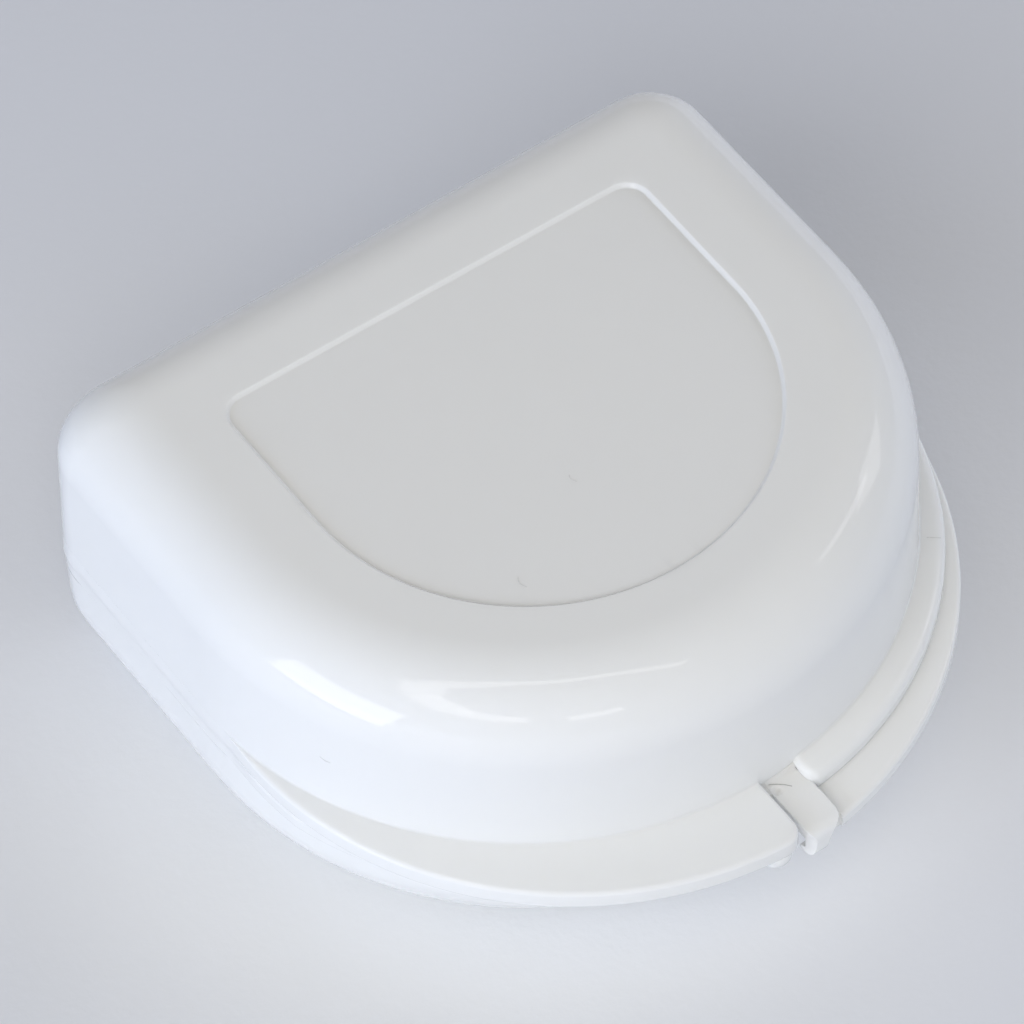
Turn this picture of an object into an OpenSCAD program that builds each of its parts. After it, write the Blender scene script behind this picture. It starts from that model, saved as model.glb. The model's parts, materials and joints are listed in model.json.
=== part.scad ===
// Mouthguard case: a D-shaped clamshell box with a rear snap hinge, a flexing
// front latch and the mouthguard that it carries. Millimetres, +Z up, front -Y.
// The origin is on the bottom plane, under the centre of the round front.

/* [Case] */
// Radius of the round front, half the width at the parting plane
front_radius = 40; // [36:0.5:46]
// Distance from the centre of the round front to the rear wall
rear_depth = 31; // [27:0.5:36]
// Radius of the two rear corners, seen from above
corner_radius = 7; // [6:0.5:9]
// Height of the closed case
case_height = 38.4; // [36:0.2:44]
// Height of the parting plane between base and lid
parting_height = 15.4; // [14.4:0.2:18]
// Radius between the walls and the top or bottom face
edge_fillet = 9; // [7:0.5:9.5]
// Draft of the walls, in degrees
wall_draft = 1.5; // [0.5:0.25:2.5]
// Wall thickness of the lid
lid_wall = 1.5; // [1.2:0.1:1.8]
// Wall thickness of the base, lip included
base_wall = 2.4; // [2.2:0.1:2.8]
// Thickness of the base floor
floor_thickness = 1.6; // [1.2:0.1:2.4]
// Gap between lid and base at the seam
seam_gap = 0.1; // [0.05:0.05:0.2]
// How far the lid rim stands proud of the walls
rim_bead = 0.1; // [0.05:0.05:0.4]
// Height of the base lip that centres the lid
lip_height = 1.2; // [0.8:0.1:2]
// Side clearance between that lip and the lid
lip_clearance = 0.15; // [0.1:0.05:0.25]

/* [Label panel] */
// Distance from the side walls to the recessed panel's sides
panel_side_margin = 14.4; // [12:0.2:18]
// Distance from the rear wall to the panel's rear edge
panel_rear_margin = 14; // [12:0.2:18]
// Radius of its rear corners
panel_corner = 2.6; // [1:0.2:6]
// How far the centre of its round front sits in front of the origin
panel_forward = 0.6; // [0:0.1:2]
// Depth of the recess
panel_recess = 0.45; // [0.2:0.05:0.8]

/* [Flanges] */
// Thickness of the lid flanges
lid_flange = 2.2; // [1.8:0.1:3]
// Thickness of the base flanges
base_flange = 1.8; // [1.2:0.1:2.2]
// How much larger the wide flange's edge circle is than the round front
wide_growth = 2.4; // [1.9:0.1:3]
// How far the centre of that edge sits in front of the origin
wide_forward = 5.1; // [4:0.1:6]
// How far that centre sits across the middle, on the far side
wide_across = 1.6; // [1:0.1:2]
// How far the narrow flange's edge, a circle like the round front, sits in front
narrow_forward = 3; // [2.5:0.1:4]
// How far that circle sits across the middle, on the flange's own side
narrow_across = 1; // [0.5:0.1:1.5]
// Plan radius at the free end of a wide flange
wide_end_radius = 1.9; // [0.8:0.1:2.4]
// Plan radius at the free end of a narrow flange
narrow_end_radius = 1.4; // [0.6:0.1:1.8]

/* [Latch] */
// Width of the latch tongue
tongue_width = 4; // [2.4:0.2:4.4]
// Thickness of the latch tongue
tongue_thickness = 1.1; // [0.8:0.1:1.6]
// Depth of the notch in the base flange's edge that the hook sits in
notch_depth = 0.7; // [0.4:0.1:1]
// Thickness of the hook outside that notch
hook_thickness = 1; // [0.7:0.1:1.4]
// How far the hook's nose reaches under the base flange
hook_catch = 0.9; // [0.3:0.1:1]
// Height of that nose
nose_height = 0.6; // [0.5:0.1:1.4]
// How much narrower the hook is at its lower end, taken off its right side
hook_taper = 2.2; // [0:0.2:2.4]
// Radius of the hook's lower outer edge
hook_round = 0.25; // [0.1:0.05:0.25]
// Gap on each side of the hook in its notch
notch_gap = 0.3; // [0.2:0.05:0.5]
// Plan radius at the corners of the hook and the thumb tab
latch_corner = 1.2; // [0.6:0.1:1.4]
// Running clearance around the latch
latch_clearance = 0.1; // [0.05:0.05:0.2]
// Width of the slit between the tongue and the lid flange
slit_width = 0.9; // [0.6:0.1:1.2]
// Length of the slit, measured inwards from the flange edge
slit_length = 6; // [4:0.5:6]
// Radius of the round relief in the tongue's root, at the slit's inner end
relief_radius = 0.75; // [0.4:0.05:0.9]
// Thickness that is left under that relief
relief_floor = 0.4; // [0.3:0.1:0.6]
// How far the slit sits left of the middle
slit_offset = 0.2; // [0:0.1:0.6]
// How far the tongue's root runs into the narrow flange beside it
tongue_root = 0.5; // [0.1:0.1:0.8]
// Distance from the slit to the base's thumb tab
tab_offset = 1.4; // [0.5:0.1:1.6]
// Width of the base's thumb tab
tab_width = 2.8; // [2.6:0.2:4]
// How far the thumb tab reaches below the seam
tab_drop = 2; // [1.8:0.1:3.4]
// Radius of its lower front edge
tab_round = 1; // [0.5:0.1:1.2]

/* [Hinge] */
// Diameter of the two hinge rods
rod_diameter = 2.6; // [2:0.1:3]
// Radial clearance of the clips on the rods
rod_clearance = 0.08; // [0.04:0.02:0.1]
// Wall thickness of the clips and ears around the rods
knuckle_wall = 1.1; // [0.9:0.1:1.3]
// Gap between the knuckles and the rear wall
knuckle_gap = 1.4; // [1:0.1:1.6]
// Length of each clip along the rod
clip_length = 9; // [6:0.5:12]
// Thickness of each ear along the rod
ear_thickness = 2; // [1.5:0.25:3]
// Side gap between a clip and its ears
side_gap = 0.3; // [0.2:0.05:0.5]
// Distance from the middle of the case to the middle of each rod
hinge_offset = 19; // [12:0.5:22]
// Angle of the clip's open mouth, in degrees
mouth_angle = 100; // [80:5:120]

/* [Mouthguard] */
// Clearance round the mouthguard, inside the flat part of the base floor
guard_clearance = 0.7; // [0.3:0.1:3]
// Width of the bite channel with both its walls
arch_width = 14; // [12.5:0.5:15]
// Length of the straight part behind the round front
leg_length = 19; // [14:0.5:21]
// Height of the outer wall at the front
front_height = 19; // [16:0.5:20]
// Height of the outer wall at the rear ends
rear_height = 13; // [11:0.5:15]
// Height of the inner wall
inner_height = 11; // [8:0.5:13]
// Thickness of the shell's outer wall
outer_wall = 2.2; // [1.6:0.1:2.6]
// Thickness of the shell's inner wall
inner_wall = 1.6; // [1.2:0.1:2]
// Thickness of the shell under the teeth
bite_floor = 2; // [1.5:0.1:3]
// Thickness of the soft liner
liner_thickness = 1; // [0.6:0.1:1.4]
// Gap under the mouthguard as it lies in the base
seat_gap = 0.2; // [0.1:0.05:0.3]

/* [Hidden] */
$fn = 96;

case_white = [0.93, 0.94, 0.94];
shell_colour = [0.16, 0.42, 0.80];
liner_colour = [0.80, 0.90, 0.97];

front_steps = 48;
corner_steps = 8;
fillet_steps = 7;
corner_tightening = 0.6;
smallest_corner = 0.8;
far = 2 * (front_radius + rear_depth);
overlap = 0.6;

panel_radius = front_radius - panel_side_margin;
panel_depth = rear_depth - panel_rear_margin + panel_forward;
wide_radius = front_radius + wide_growth;
base_top = parting_height - seam_gap / 2;
lid_bottom = parting_height + seam_gap / 2;
flange_bottom = base_top - base_flange;

// Latch: the tongue lies right of the slit, the thumb tab left of it.
slit_left = -slit_offset;
tongue_left = slit_left + slit_width;
tongue_right = tongue_left + tongue_width;
tongue_bottom = base_top + latch_clearance;
tongue_top = tongue_bottom + tongue_thickness;
flange_edge = wide_forward + sqrt(pow(wide_radius, 2) - pow(tongue_left + wide_across, 2));
notch_y = notch_depth - flange_edge;
hook_inner = notch_y - latch_clearance;
hook_outer = hook_inner - hook_thickness;
nose_top = flange_bottom - latch_clearance;
nose_bottom = nose_top - nose_height;
web_front = slit_length - flange_edge;
narrow_end = tongue_right - tongue_root;
tab_right = slit_left - tab_offset;

// Hinge: the axis lies in the parting plane, behind the rear wall.
rod_radius = rod_diameter / 2;
bore_radius = rod_radius + rod_clearance;
knuckle_radius = bore_radius + knuckle_wall;
axis_y = rear_depth + rim_bead + knuckle_gap + knuckle_radius;
rod_length = clip_length + 2 * (side_gap + ear_thickness);

// Mouthguard: it lies on the base floor with its bite channel up.
guard_bottom = floor_thickness + seat_gap;
floor_radius = front_radius - base_wall - (edge_fillet - floor_thickness);
arch_radius = floor_radius - guard_clearance;
channel_outer = arch_radius - outer_wall;
channel_inner = arch_radius - arch_width + inner_wall;

// One D-shaped ring at height z, its outline moved inwards by inset. Its rear
// corners tighten as it moves in, and stop at the smallest radius.
function corner_at(inset) = max(corner_radius - corner_tightening * inset, smallest_corner);
function ring(inset, z) = let (r = front_radius - inset, c = corner_at(inset))
    concat(
        [for (i = [0 : front_steps]) let (a = 180 + 180 * i / front_steps)
            [r * cos(a), r * sin(a), z]],
        [for (s = [0 : 1], i = [0 : corner_steps]) let (a = 90 * (s + i / corner_steps))
            [(1 - 2 * s) * (r - c) + c * cos(a), rear_depth - inset - c + c * sin(a), z]]
    );

// Outline of a wall and its fillet, as [inset, height above the seam] pairs.
function wall_path(height, fillet, start) = let (
        straight = height - fillet * (1 - sin(wall_draft)),
        lean = straight * tan(wall_draft))
    concat([[start, 0]],
        [for (i = [0 : fillet_steps]) let (a = wall_draft + (90 - wall_draft) * i / fillet_steps)
            [start + lean + fillet * (cos(wall_draft) - cos(a)), height - fillet * (1 - sin(a))]]);
function reversed(list) = [for (i = [len(list) - 1 : -1 : 0]) list[i]];

// A closed solid from one path of [inset, z] pairs: rings joined by triangles,
// with the first and the last ring capped.
module d_solid(path) {
    count = front_steps + 1 + 2 * (corner_steps + 1);
    last = len(path) - 1;
    points = [for (p = path) each ring(p[0], p[1])];
    sides = [for (k = [0 : last - 1], i = [0 : count - 1])
        let (j = (i + 1) % count, a = k * count + i, b = k * count + j,
             c = a + count, d = b + count)
        each [[a, c, b], [b, c, d]]];
    caps = [[for (i = [0 : count - 1]) i], [for (i = [count - 1 : -1 : 0]) last * count + i]];
    polyhedron(points, concat(sides, caps));
}

// Exact D outline, grown outwards by grow.
module d_plan(grow) {
    r = front_radius + grow;
    c = corner_radius + grow;
    rear = rear_depth + grow;
    intersection() {
        circle(r);
        translate([-far, -far]) square([2 * far, far]);
    }
    translate([-r, 0]) square([2 * r, rear - c]);
    translate([c - r, 0]) square([2 * (r - c), rear]);
    for (s = [-1, 1]) translate([s * (r - c), rear - c]) circle(c);
}

// Plan of a flange on the right side: the inside of its edge circle, from its
// free end at end_x round to where that circle runs into the wall, grown by grow.
module flange_plan(centre, radius, end_x, end_radius, grow) {
    corner_x = end_x + end_radius;
    corner_y = centre[1] - sqrt(pow(radius - end_radius, 2) - pow(corner_x - centre[0], 2));
    wall_x = front_radius + grow - centre[0];
    reach = centre[1] + sqrt(max(0, pow(radius, 2) - pow(wall_x, 2)));
    intersection() {
        translate(centre) circle(radius);
        union() {
            translate([corner_x, -far]) square([far, far + reach]);
            translate([end_x, corner_y]) square([end_radius + overlap, -corner_y]);
        }
    }
    translate([corner_x, corner_y]) circle(end_radius);
}
module wide_plan(end_x, grow) {
    flange_plan([-wide_across, -wide_forward], wide_radius, end_x, wide_end_radius, grow);
}
module narrow_plan(end_x, grow) {
    flange_plan([narrow_across, -narrow_forward], front_radius, end_x, narrow_end_radius, grow);
}

// The base: a tray with a flat bottom, its two flanges, the lip, the thumb tab
// and the hinge ears with their rods.
module base_shell() {
    outer = [for (p = wall_path(base_top, edge_fillet, 0)) [p[0], base_top - p[1]]];
    inner = [for (p = wall_path(base_top - floor_thickness, edge_fillet - floor_thickness,
            base_wall)) [p[0], base_top - p[1]]];
    lip_inset = lid_wall + lip_clearance;
    lip = [[lip_inset, base_top], [lip_inset, parting_height + lip_height],
        [base_wall, parting_height + lip_height]];
    d_solid(concat(reversed(outer), lip, inner));
}
module base_flanges() {
    translate([0, 0, flange_bottom]) linear_extrude(base_flange) difference() {
        union() {
            wide_plan(-slit_left, 0);
            mirror([1, 0]) intersection() {
                narrow_plan(narrow_end, 0);
                wide_plan(-slit_left, 0);
            }
        }
        d_plan(-base_wall / 2);
        translate([tongue_left - notch_gap, notch_y - far])
            square([tongue_width + 2 * notch_gap, far]);
    }
}
// An upright bar along Y with two rounded corners at its front end.
module rounded_front(left, width, front) {
    r = latch_corner;
    translate([left, front, 0]) linear_extrude(case_height) {
        translate([0, r]) square([width, -front - r]);
        translate([r, 0]) square([width - 2 * r, r + overlap]);
        for (x = [r, width - r]) translate([x, r]) circle(r);
    }
}
module thumb_tab() {
    bottom = base_top - tab_drop;
    wall_y = base_wall / 2 - front_radius;
    left = tab_right - tab_width;
    intersection() {
        rounded_front(left, tab_width, -flange_edge);
        translate([left, 0, 0]) rotate([90, 0, 90]) linear_extrude(tab_width) {
            translate([tab_round - flange_edge, bottom])
                square([wall_y + flange_edge - tab_round, tab_drop]);
            translate([-flange_edge, bottom + tab_round])
                square([tab_round + overlap, tab_drop - tab_round]);
            translate([tab_round - flange_edge, bottom + tab_round]) circle(tab_round);
        }
    }
}
module ear_and_rod(side) {
    wall_y = rear_depth - base_wall / 2;
    tangent = knuckle_radius * sqrt(0.5);
    foot_z = parting_height - 2 * tangent - (axis_y - wall_y);
    translate([side * hinge_offset, 0, 0]) {
        translate([-rod_length / 2, axis_y, parting_height])
            rotate([0, 90, 0]) cylinder(h = rod_length, r = rod_radius);
        for (end = [-1, 1]) {
            near = clip_length / 2 + side_gap;
            left = end > 0 ? near : -near - ear_thickness;
            translate([left, 0, 0]) rotate([90, 0, 90]) linear_extrude(ear_thickness) {
                translate([axis_y, parting_height]) circle(knuckle_radius);
                polygon([[wall_y, base_top], [axis_y, base_top],
                    [axis_y + tangent, parting_height - tangent], [wall_y, foot_z]]);
            }
        }
    }
}
module base() {
    color(case_white) {
        base_shell();
        base_flanges();
        thumb_tab();
        for (side = [-1, 1]) ear_and_rod(side);
    }
}

// The lid: a deep shell with its recessed panel, the proud rim, two flanges,
// the latch tongue and the hinge clips.
module lid_shell() {
    height = case_height - lid_bottom;
    outer = [for (p = wall_path(height, edge_fillet, 0)) [p[0], lid_bottom + p[1]]];
    inner = [for (p = wall_path(height - lid_wall, edge_fillet - lid_wall, lid_wall))
        [p[0], lid_bottom + p[1]]];
    d_solid(concat(reversed(inner), outer));
}
module panel_plan() {
    c = panel_corner;
    intersection() {
        circle(panel_radius);
        translate([-far, -far]) square([2 * far, far]);
    }
    translate([-panel_radius, 0]) square([2 * panel_radius, panel_depth - c]);
    translate([c - panel_radius, 0]) square([2 * (panel_radius - c), panel_depth]);
    for (s = [-1, 1]) translate([s * (panel_radius - c), panel_depth - c]) circle(c);
}
module lid_rim() {
    translate([0, 0, lid_bottom]) linear_extrude(lid_flange) difference() {
        union() {
            d_plan(rim_bead);
            mirror([1, 0]) wide_plan(-slit_left, rim_bead);
            narrow_plan(narrow_end, rim_bead);
        }
        d_plan(-lid_wall / 2);
    }
}
// The tongue seen from the front: its full width above, tapered down the hook.
module tongue_face() {
    rotate([90, 0, 0]) linear_extrude(far) polygon([[tongue_left, tongue_top],
        [tongue_right, tongue_top], [tongue_right, tongue_bottom],
        [tongue_right - hook_taper, nose_bottom], [tongue_left, nose_bottom]]);
}
module bent_tongue() {
    bend = tongue_thickness;
    wall_y = lid_wall / 2 - front_radius;
    intersection() {
        rounded_front(tongue_left, tongue_width, hook_outer);
        tongue_face();
        translate([tongue_left, 0, 0]) rotate([90, 0, 90]) linear_extrude(tongue_width) {
            translate([hook_outer + bend, tongue_bottom])
                square([wall_y - hook_outer - bend, tongue_thickness]);
            translate([hook_outer, nose_bottom + hook_round])
                square([hook_thickness, tongue_top - bend - nose_bottom - hook_round]);
            translate([hook_outer + hook_round, nose_bottom])
                square([hook_thickness + hook_catch - hook_round, nose_height]);
            translate([hook_outer + hook_round, nose_bottom + hook_round]) circle(hook_round);
            intersection() {
                translate([hook_outer + bend, tongue_top - bend]) circle(bend);
                translate([hook_outer, tongue_top - bend]) square(2 * bend);
            }
        }
    }
}
// The tongue and the web at the slit's inner end, with the relief between them.
module latch_tongue() {
    wall_y = lid_wall / 2 - front_radius;
    difference() {
        union() {
            translate([slit_left - overlap, web_front, tongue_bottom])
                cube([slit_width + 2 * overlap, wall_y - web_front, tongue_thickness]);
            bent_tongue();
        }
        translate([tongue_left + relief_radius * 2 / 3, web_front, tongue_bottom + relief_floor])
            cylinder(h = tongue_thickness, r = relief_radius);
    }
}
module hinge_clip(side) {
    mouth = mouth_angle / 2;
    left = side * hinge_offset - clip_length / 2;
    difference() {
        union() {
            translate([left, axis_y, parting_height])
                rotate([0, 90, 0]) cylinder(h = clip_length, r = knuckle_radius);
            translate([left, rear_depth - lid_wall / 2, lid_bottom])
                cube([clip_length, axis_y - rear_depth + lid_wall / 2, lid_flange]);
        }
        translate([left - overlap, axis_y, parting_height])
            rotate([0, 90, 0]) cylinder(h = clip_length + 2 * overlap, r = bore_radius);
        translate([left - overlap, axis_y, parting_height]) rotate([90, 0, 90])
            linear_extrude(clip_length + 2 * overlap)
            polygon([[0, 0], for (a = [-mouth, mouth]) far * [sin(a), -cos(a)]]);
    }
}
module lid() {
    color(case_white) {
        difference() {
            lid_shell();
            translate([0, -panel_forward, case_height - panel_recess])
                linear_extrude(panel_recess + overlap) panel_plan();
        }
        lid_rim();
        latch_tongue();
        for (side = [-1, 1]) hinge_clip(side);
    }
}

// The mouthguard: one section, swept round the front and along both legs, then
// cut down by a plane that falls towards the rear.
module swept_arch() {
    rotate([0, 0, 180]) rotate_extrude(angle = 180) children();
    for (s = [0, 1]) mirror([s, 0, 0])
        translate([0, leg_length, 0]) rotate([90, 0, 0]) linear_extrude(leg_length) children();
}
module trimmed() {
    run = arch_radius + leg_length;
    slope = atan((front_height - rear_height) / run);
    intersection() {
        children();
        translate([0, -arch_radius, front_height]) rotate([-slope, 0, 0])
            translate([-far / 2, -far / 2, -far]) cube([far, 2 * far, far]);
    }
}
module shell_section() {
    left = arch_radius - arch_width;
    difference() {
        translate([left, 0]) square([arch_width, front_height]);
        translate([channel_inner, bite_floor])
            square([channel_outer - channel_inner, front_height]);
        translate([left - overlap, inner_height])
            square([channel_inner - left + 2 * overlap, front_height]);
    }
}
module liner_section() {
    t = liner_thickness;
    difference() {
        translate([channel_inner, bite_floor])
            square([channel_outer - channel_inner, front_height]);
        translate([channel_inner + t, bite_floor + t])
            square([channel_outer - channel_inner - 2 * t, front_height]);
        translate([channel_inner - overlap, inner_height])
            square([t + 2 * overlap, front_height]);
    }
}
module guard_shell() {
    color(shell_colour) translate([0, 0, guard_bottom]) trimmed() swept_arch() shell_section();
}
module guard_liner() {
    color(liner_colour) translate([0, 0, guard_bottom]) trimmed() swept_arch() liner_section();
}

base();
lid();
guard_shell();
guard_liner();
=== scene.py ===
import json
import math

import bmesh
import bpy
import numpy as np
from mathutils import Matrix, Vector
from mathutils.bvhtree import BVHTree

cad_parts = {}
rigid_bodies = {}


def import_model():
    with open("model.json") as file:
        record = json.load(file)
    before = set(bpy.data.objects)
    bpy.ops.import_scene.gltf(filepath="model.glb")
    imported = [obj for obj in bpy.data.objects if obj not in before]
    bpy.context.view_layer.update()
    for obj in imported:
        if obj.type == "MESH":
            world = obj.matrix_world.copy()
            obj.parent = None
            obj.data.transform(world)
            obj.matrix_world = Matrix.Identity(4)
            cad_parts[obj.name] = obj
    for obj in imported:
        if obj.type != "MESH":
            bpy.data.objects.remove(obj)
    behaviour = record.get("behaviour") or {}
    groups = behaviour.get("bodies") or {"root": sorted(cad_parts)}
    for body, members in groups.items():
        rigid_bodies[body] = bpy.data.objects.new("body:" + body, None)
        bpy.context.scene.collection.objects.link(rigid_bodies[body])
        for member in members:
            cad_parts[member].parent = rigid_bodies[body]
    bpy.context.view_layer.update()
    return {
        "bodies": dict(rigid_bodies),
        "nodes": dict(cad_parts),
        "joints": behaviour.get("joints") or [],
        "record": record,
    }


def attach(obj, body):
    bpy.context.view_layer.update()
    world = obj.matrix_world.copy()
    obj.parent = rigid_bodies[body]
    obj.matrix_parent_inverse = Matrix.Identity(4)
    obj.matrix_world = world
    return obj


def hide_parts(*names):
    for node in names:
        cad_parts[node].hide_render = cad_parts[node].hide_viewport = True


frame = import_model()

scene = bpy.context.scene
MM = 0.001

# ---------------------------------------------------------------- camera
# The photographer looks down on the closed case from its front left, with a
# long lens. The angles and the aim were fitted to the outlines of dome, panel,
# seam and flanges in the photograph, whose ends are among these image points.
photo_side = 1024
image_points = {
    "left": (57.5, None), "right": (960, None), "top": (None, 93.5), "bottom": (None, 907),
    "panel_left": (228, 411), "panel_rear": (629, 184), "panel_front": (527.5, 606),
    "latch_tongue": (802.5, 807), "thumb_tab": (781.5, 862), "crack": (780, 785),
    "lint_panel": (572, 479), "lint_front": (521, 583), "lint_wall": (325, 760),
    "lint_flange": (934.5, 537.5)}
sensor_width = 36.0
focal_pixels = 6978.0
view_azimuth, view_elevation, view_roll = (math.radians(v) for v in (-33.67, 52.369, -1.923))
view_distance = 715.283 * MM
aim_across, aim_up = 1.716 * MM, -2.471 * MM
seam_height = 15.4


def linked(name, data):
    """A new object in the scene."""
    made = bpy.data.objects.new(name, data)
    scene.collection.objects.link(made)
    return made


look = -Vector((math.sin(view_azimuth) * math.cos(view_elevation),
                -math.cos(view_azimuth) * math.cos(view_elevation),
                math.sin(view_elevation)))
level = look.cross(Vector((0, 0, 1))).normalized()
upright = level.cross(look)
across = level * math.cos(view_roll) + upright * math.sin(view_roll)
up = upright * math.cos(view_roll) - level * math.sin(view_roll)
camera_data = bpy.data.cameras.new("camera")
camera_data.sensor_fit = "AUTO"
camera_data.sensor_width = sensor_width
camera_data.lens = focal_pixels * sensor_width / photo_side
camera_data.shift_x = camera_data.shift_y = 0
camera_data.clip_start, camera_data.clip_end = 0.01, 10
camera = linked("camera", camera_data)
camera.matrix_world = Matrix.Translation(
    Vector((0, 0, seam_height * MM)) - look * view_distance - across * aim_across - up * aim_up
) @ Matrix((across, up, -look)).transposed().to_4x4()
scene.camera = camera

# ---------------------------------------------------------------- base
# The lower half of the case: a tray in white polypropylene, injection moulded
# with its lip and its two front flanges. The wide flange is on the right, the
# narrow one on the left, and a notch in the wide one takes the lid's hook.
front_radius, rear_depth, corner_radius = 40.0, 31.0, 7.0
corner_tightening, smallest_corner = 0.6, 0.8
side_steps_to, side_length = 6.0, 24.0
edge_fillet = 9.0
draft = math.radians(1.5)
seam_gap = 0.02
base_top, lid_bottom = seam_height - seam_gap / 2, seam_height + seam_gap / 2
base_wall, floor_thickness = 2.4, 1.6
lip_inset, lip_top = 1.65, 16.6
base_flange = 1.8
# Each flange's edge is a circle: its middle across and along, and its radius.
wide_circle, narrow_circle = (1.6, -5.1, 42.4), (1.0, -3.0, 40.0)
lid_circle = (0.54, -7.45, 40.39)
wide_corner, narrow_corner, flange_rear = 1.9, 1.4, 12.0
straight_ahead, fans_out_over = 6.0, 9.0
notch_right, notch_front = 5.0, -46.74
end_droop, wall_clear, lip_foot = 0.35, 0.4, 0.12
# The small D that closes the bottom and the floor: radius, forward, rear and corner.
base_middle = (3, 0, 1.5, 0.5)


class Outline:
    """Places round the D-shaped outline of the case, the same for every ring of a half.

    Round the front they lie closer where a flange ends, and an end has two
    places at one point: one with the flange and one without it."""

    def __init__(self, left_end, right_end, extra=()):
        near = np.array([0, 0.04, 0.12, 0.25, 0.42, 0.62, 0.86, 1.15, 1.5, 1.9, 2.4, 3.0])
        every = np.linspace(180, 360, 121)
        left = [a for a in every if a < self.angle(left_end - near[-1]) - 0.5]
        right = [a for a in every if a > self.angle(right_end + near[-1]) + 0.5]
        left += [self.angle(left_end - d) for d in near[::-1]]
        right = sorted([self.angle(right_end + d) for d in near] + list(right)
                       + [self.angle(x) + side for x in extra for side in (-1e-4, 1e-4)])
        middle = list(np.linspace(self.angle(left_end), self.angle(right_end), 8))
        angle = np.radians(left + middle + right)
        self.stretch = np.repeat([-1, 0, 1], [len(left), len(middle), len(right)])
        self.count = n = len(angle)
        side = np.concatenate([np.linspace(0, side_steps_to, 13)[1:],
                               np.linspace(side_steps_to, side_length, 13)[1:]]) / side_length
        turn = np.radians(np.linspace(0, 90, 15))
        rear = np.linspace(1, -1, 25)[1:-1]
        zones = [(0, angle), (1, side), (2, turn[1:]), (3, rear), (4, turn + math.pi / 2),
                 (5, side[::-1][1:])]
        self.zone = np.concatenate([np.full(len(t), z) for z, t in zones])
        self.share = np.concatenate([t for _, t in zones])
        self.sign = np.where(self.zone <= 2, 1.0, -1.0)
        self.kinds = [np.isin(self.zone, kind) for kind in (0, (1, 5), (2, 4), 3)]
        _, sides, turns, back = self.kinds
        self.wall = self.ring(0)
        out = np.zeros((len(self.zone), 2))
        out[:n] = np.stack([np.cos(angle), np.sin(angle)], 1)
        fanned = np.clip((np.abs(self.wall[:n, 0]) - straight_ahead) / fans_out_over, 0, 1)[:, None]
        out[:n] = fanned * out[:n] + (1 - fanned) * np.array([0, -1.0])
        out[sides, 0] = self.sign[sides]
        out[turns] = np.stack([np.cos(self.share[turns]), np.sin(self.share[turns])], 1)
        out[back, 1] = 1
        self.out = out / np.linalg.norm(out, axis=1)[:, None]

    @staticmethod
    def angle(x):
        """The direction, in degrees, in which the front wall lies at x."""
        return 270 + math.degrees(math.asin(x / front_radius))

    def d_shape(self, radius, forward, rear, corner):
        """Half a circle in front, two sides, and a straight rear with round corners."""
        t, s = self.share, self.sign
        x, y = np.zeros((2, len(t)))
        front, sides, turns, back = self.kinds
        x[front], y[front] = radius * np.cos(t[front]), radius * np.sin(t[front]) - forward
        x[sides] = s[sides] * radius
        y[sides] = t[sides] * (rear - corner + forward) - forward
        x[turns] = s[turns] * (radius - corner) + corner * np.cos(t[turns])
        y[turns] = rear - corner + corner * np.sin(t[turns])
        x[back], y[back] = t[back] * (radius - corner), rear
        return np.stack([x, y], 1)

    def ring(self, inset):
        """The outline moved inwards by inset, as the walls of both halves follow it."""
        corner = max(corner_radius - corner_tightening * inset, smallest_corner)
        return self.d_shape(front_radius - inset, 0, rear_depth - inset, corner)

    def reach(self, circle, side):
        """How far each place lies inside a flange's edge circle, going outwards."""
        centre = np.array([circle[0], circle[1]])
        offset = self.wall - centre
        along = (self.out * offset).sum(1)
        inside = along ** 2 - (offset ** 2).sum(1) + circle[2] ** 2
        far = np.sqrt(np.maximum(inside, 0)) - along
        on_side = (self.sign == side) & (self.zone != 3) & (self.wall[:, 1] < flange_rear)
        on_side[:self.count] = self.stretch == side
        return np.where(on_side & (inside > 0), far, -1.0)


def stacked(xy, z):
    """A ring of places at a height, which may differ from place to place."""
    return np.column_stack([xy, np.broadcast_to(z, len(xy))])


def wall_rings(outline, low, high, fillet, inset, straight_rings, fillet_rings):
    """Rings of a drafted wall from height low to its fillet's end at height high.
    high may be below low, for the base."""
    way = 1 if high > low else -1
    rise = abs(high - low) - fillet * (1 - math.sin(draft))
    rings = [stacked(outline.ring(inset + rise * s * math.tan(draft)), low + way * rise * s)
             for s in np.linspace(0, 1, straight_rings, endpoint=False)]
    start = inset + rise * math.tan(draft)
    for a in np.linspace(draft, math.pi / 2, fillet_rings):
        rings.append(stacked(outline.ring(start + fillet * (math.cos(draft) - math.cos(a))),
                             high - way * fillet * (1 - math.sin(a))))
    return rings


def between(a, b, count):
    """count rings between ring a and ring b, without the two themselves."""
    return [a + (b - a) * s for s in np.linspace(0, 1, count + 2)[1:-1]]


def finished(name, mesh, body, material, keep_faces=True):
    """A piece from its mesh: linked, smooth, in its material and riding on its body.
    keep_faces lets its broad faces shade flat up to their rounded edges."""
    piece = linked(name, mesh)
    mesh.shade_smooth()
    mesh.materials.clear()
    mesh.materials.append(material)
    if keep_faces:
        weighted = piece.modifiers.new("weighted", "WEIGHTED_NORMAL")
        weighted.keep_sharp = True
    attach(piece, body)
    return piece


def mesh_of(name, form):
    """The mesh of a form, which is given up."""
    mesh = bpy.data.meshes.new(name)
    form.to_mesh(mesh)
    form.free()
    return mesh


sharp_angle = math.radians(50)


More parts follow.
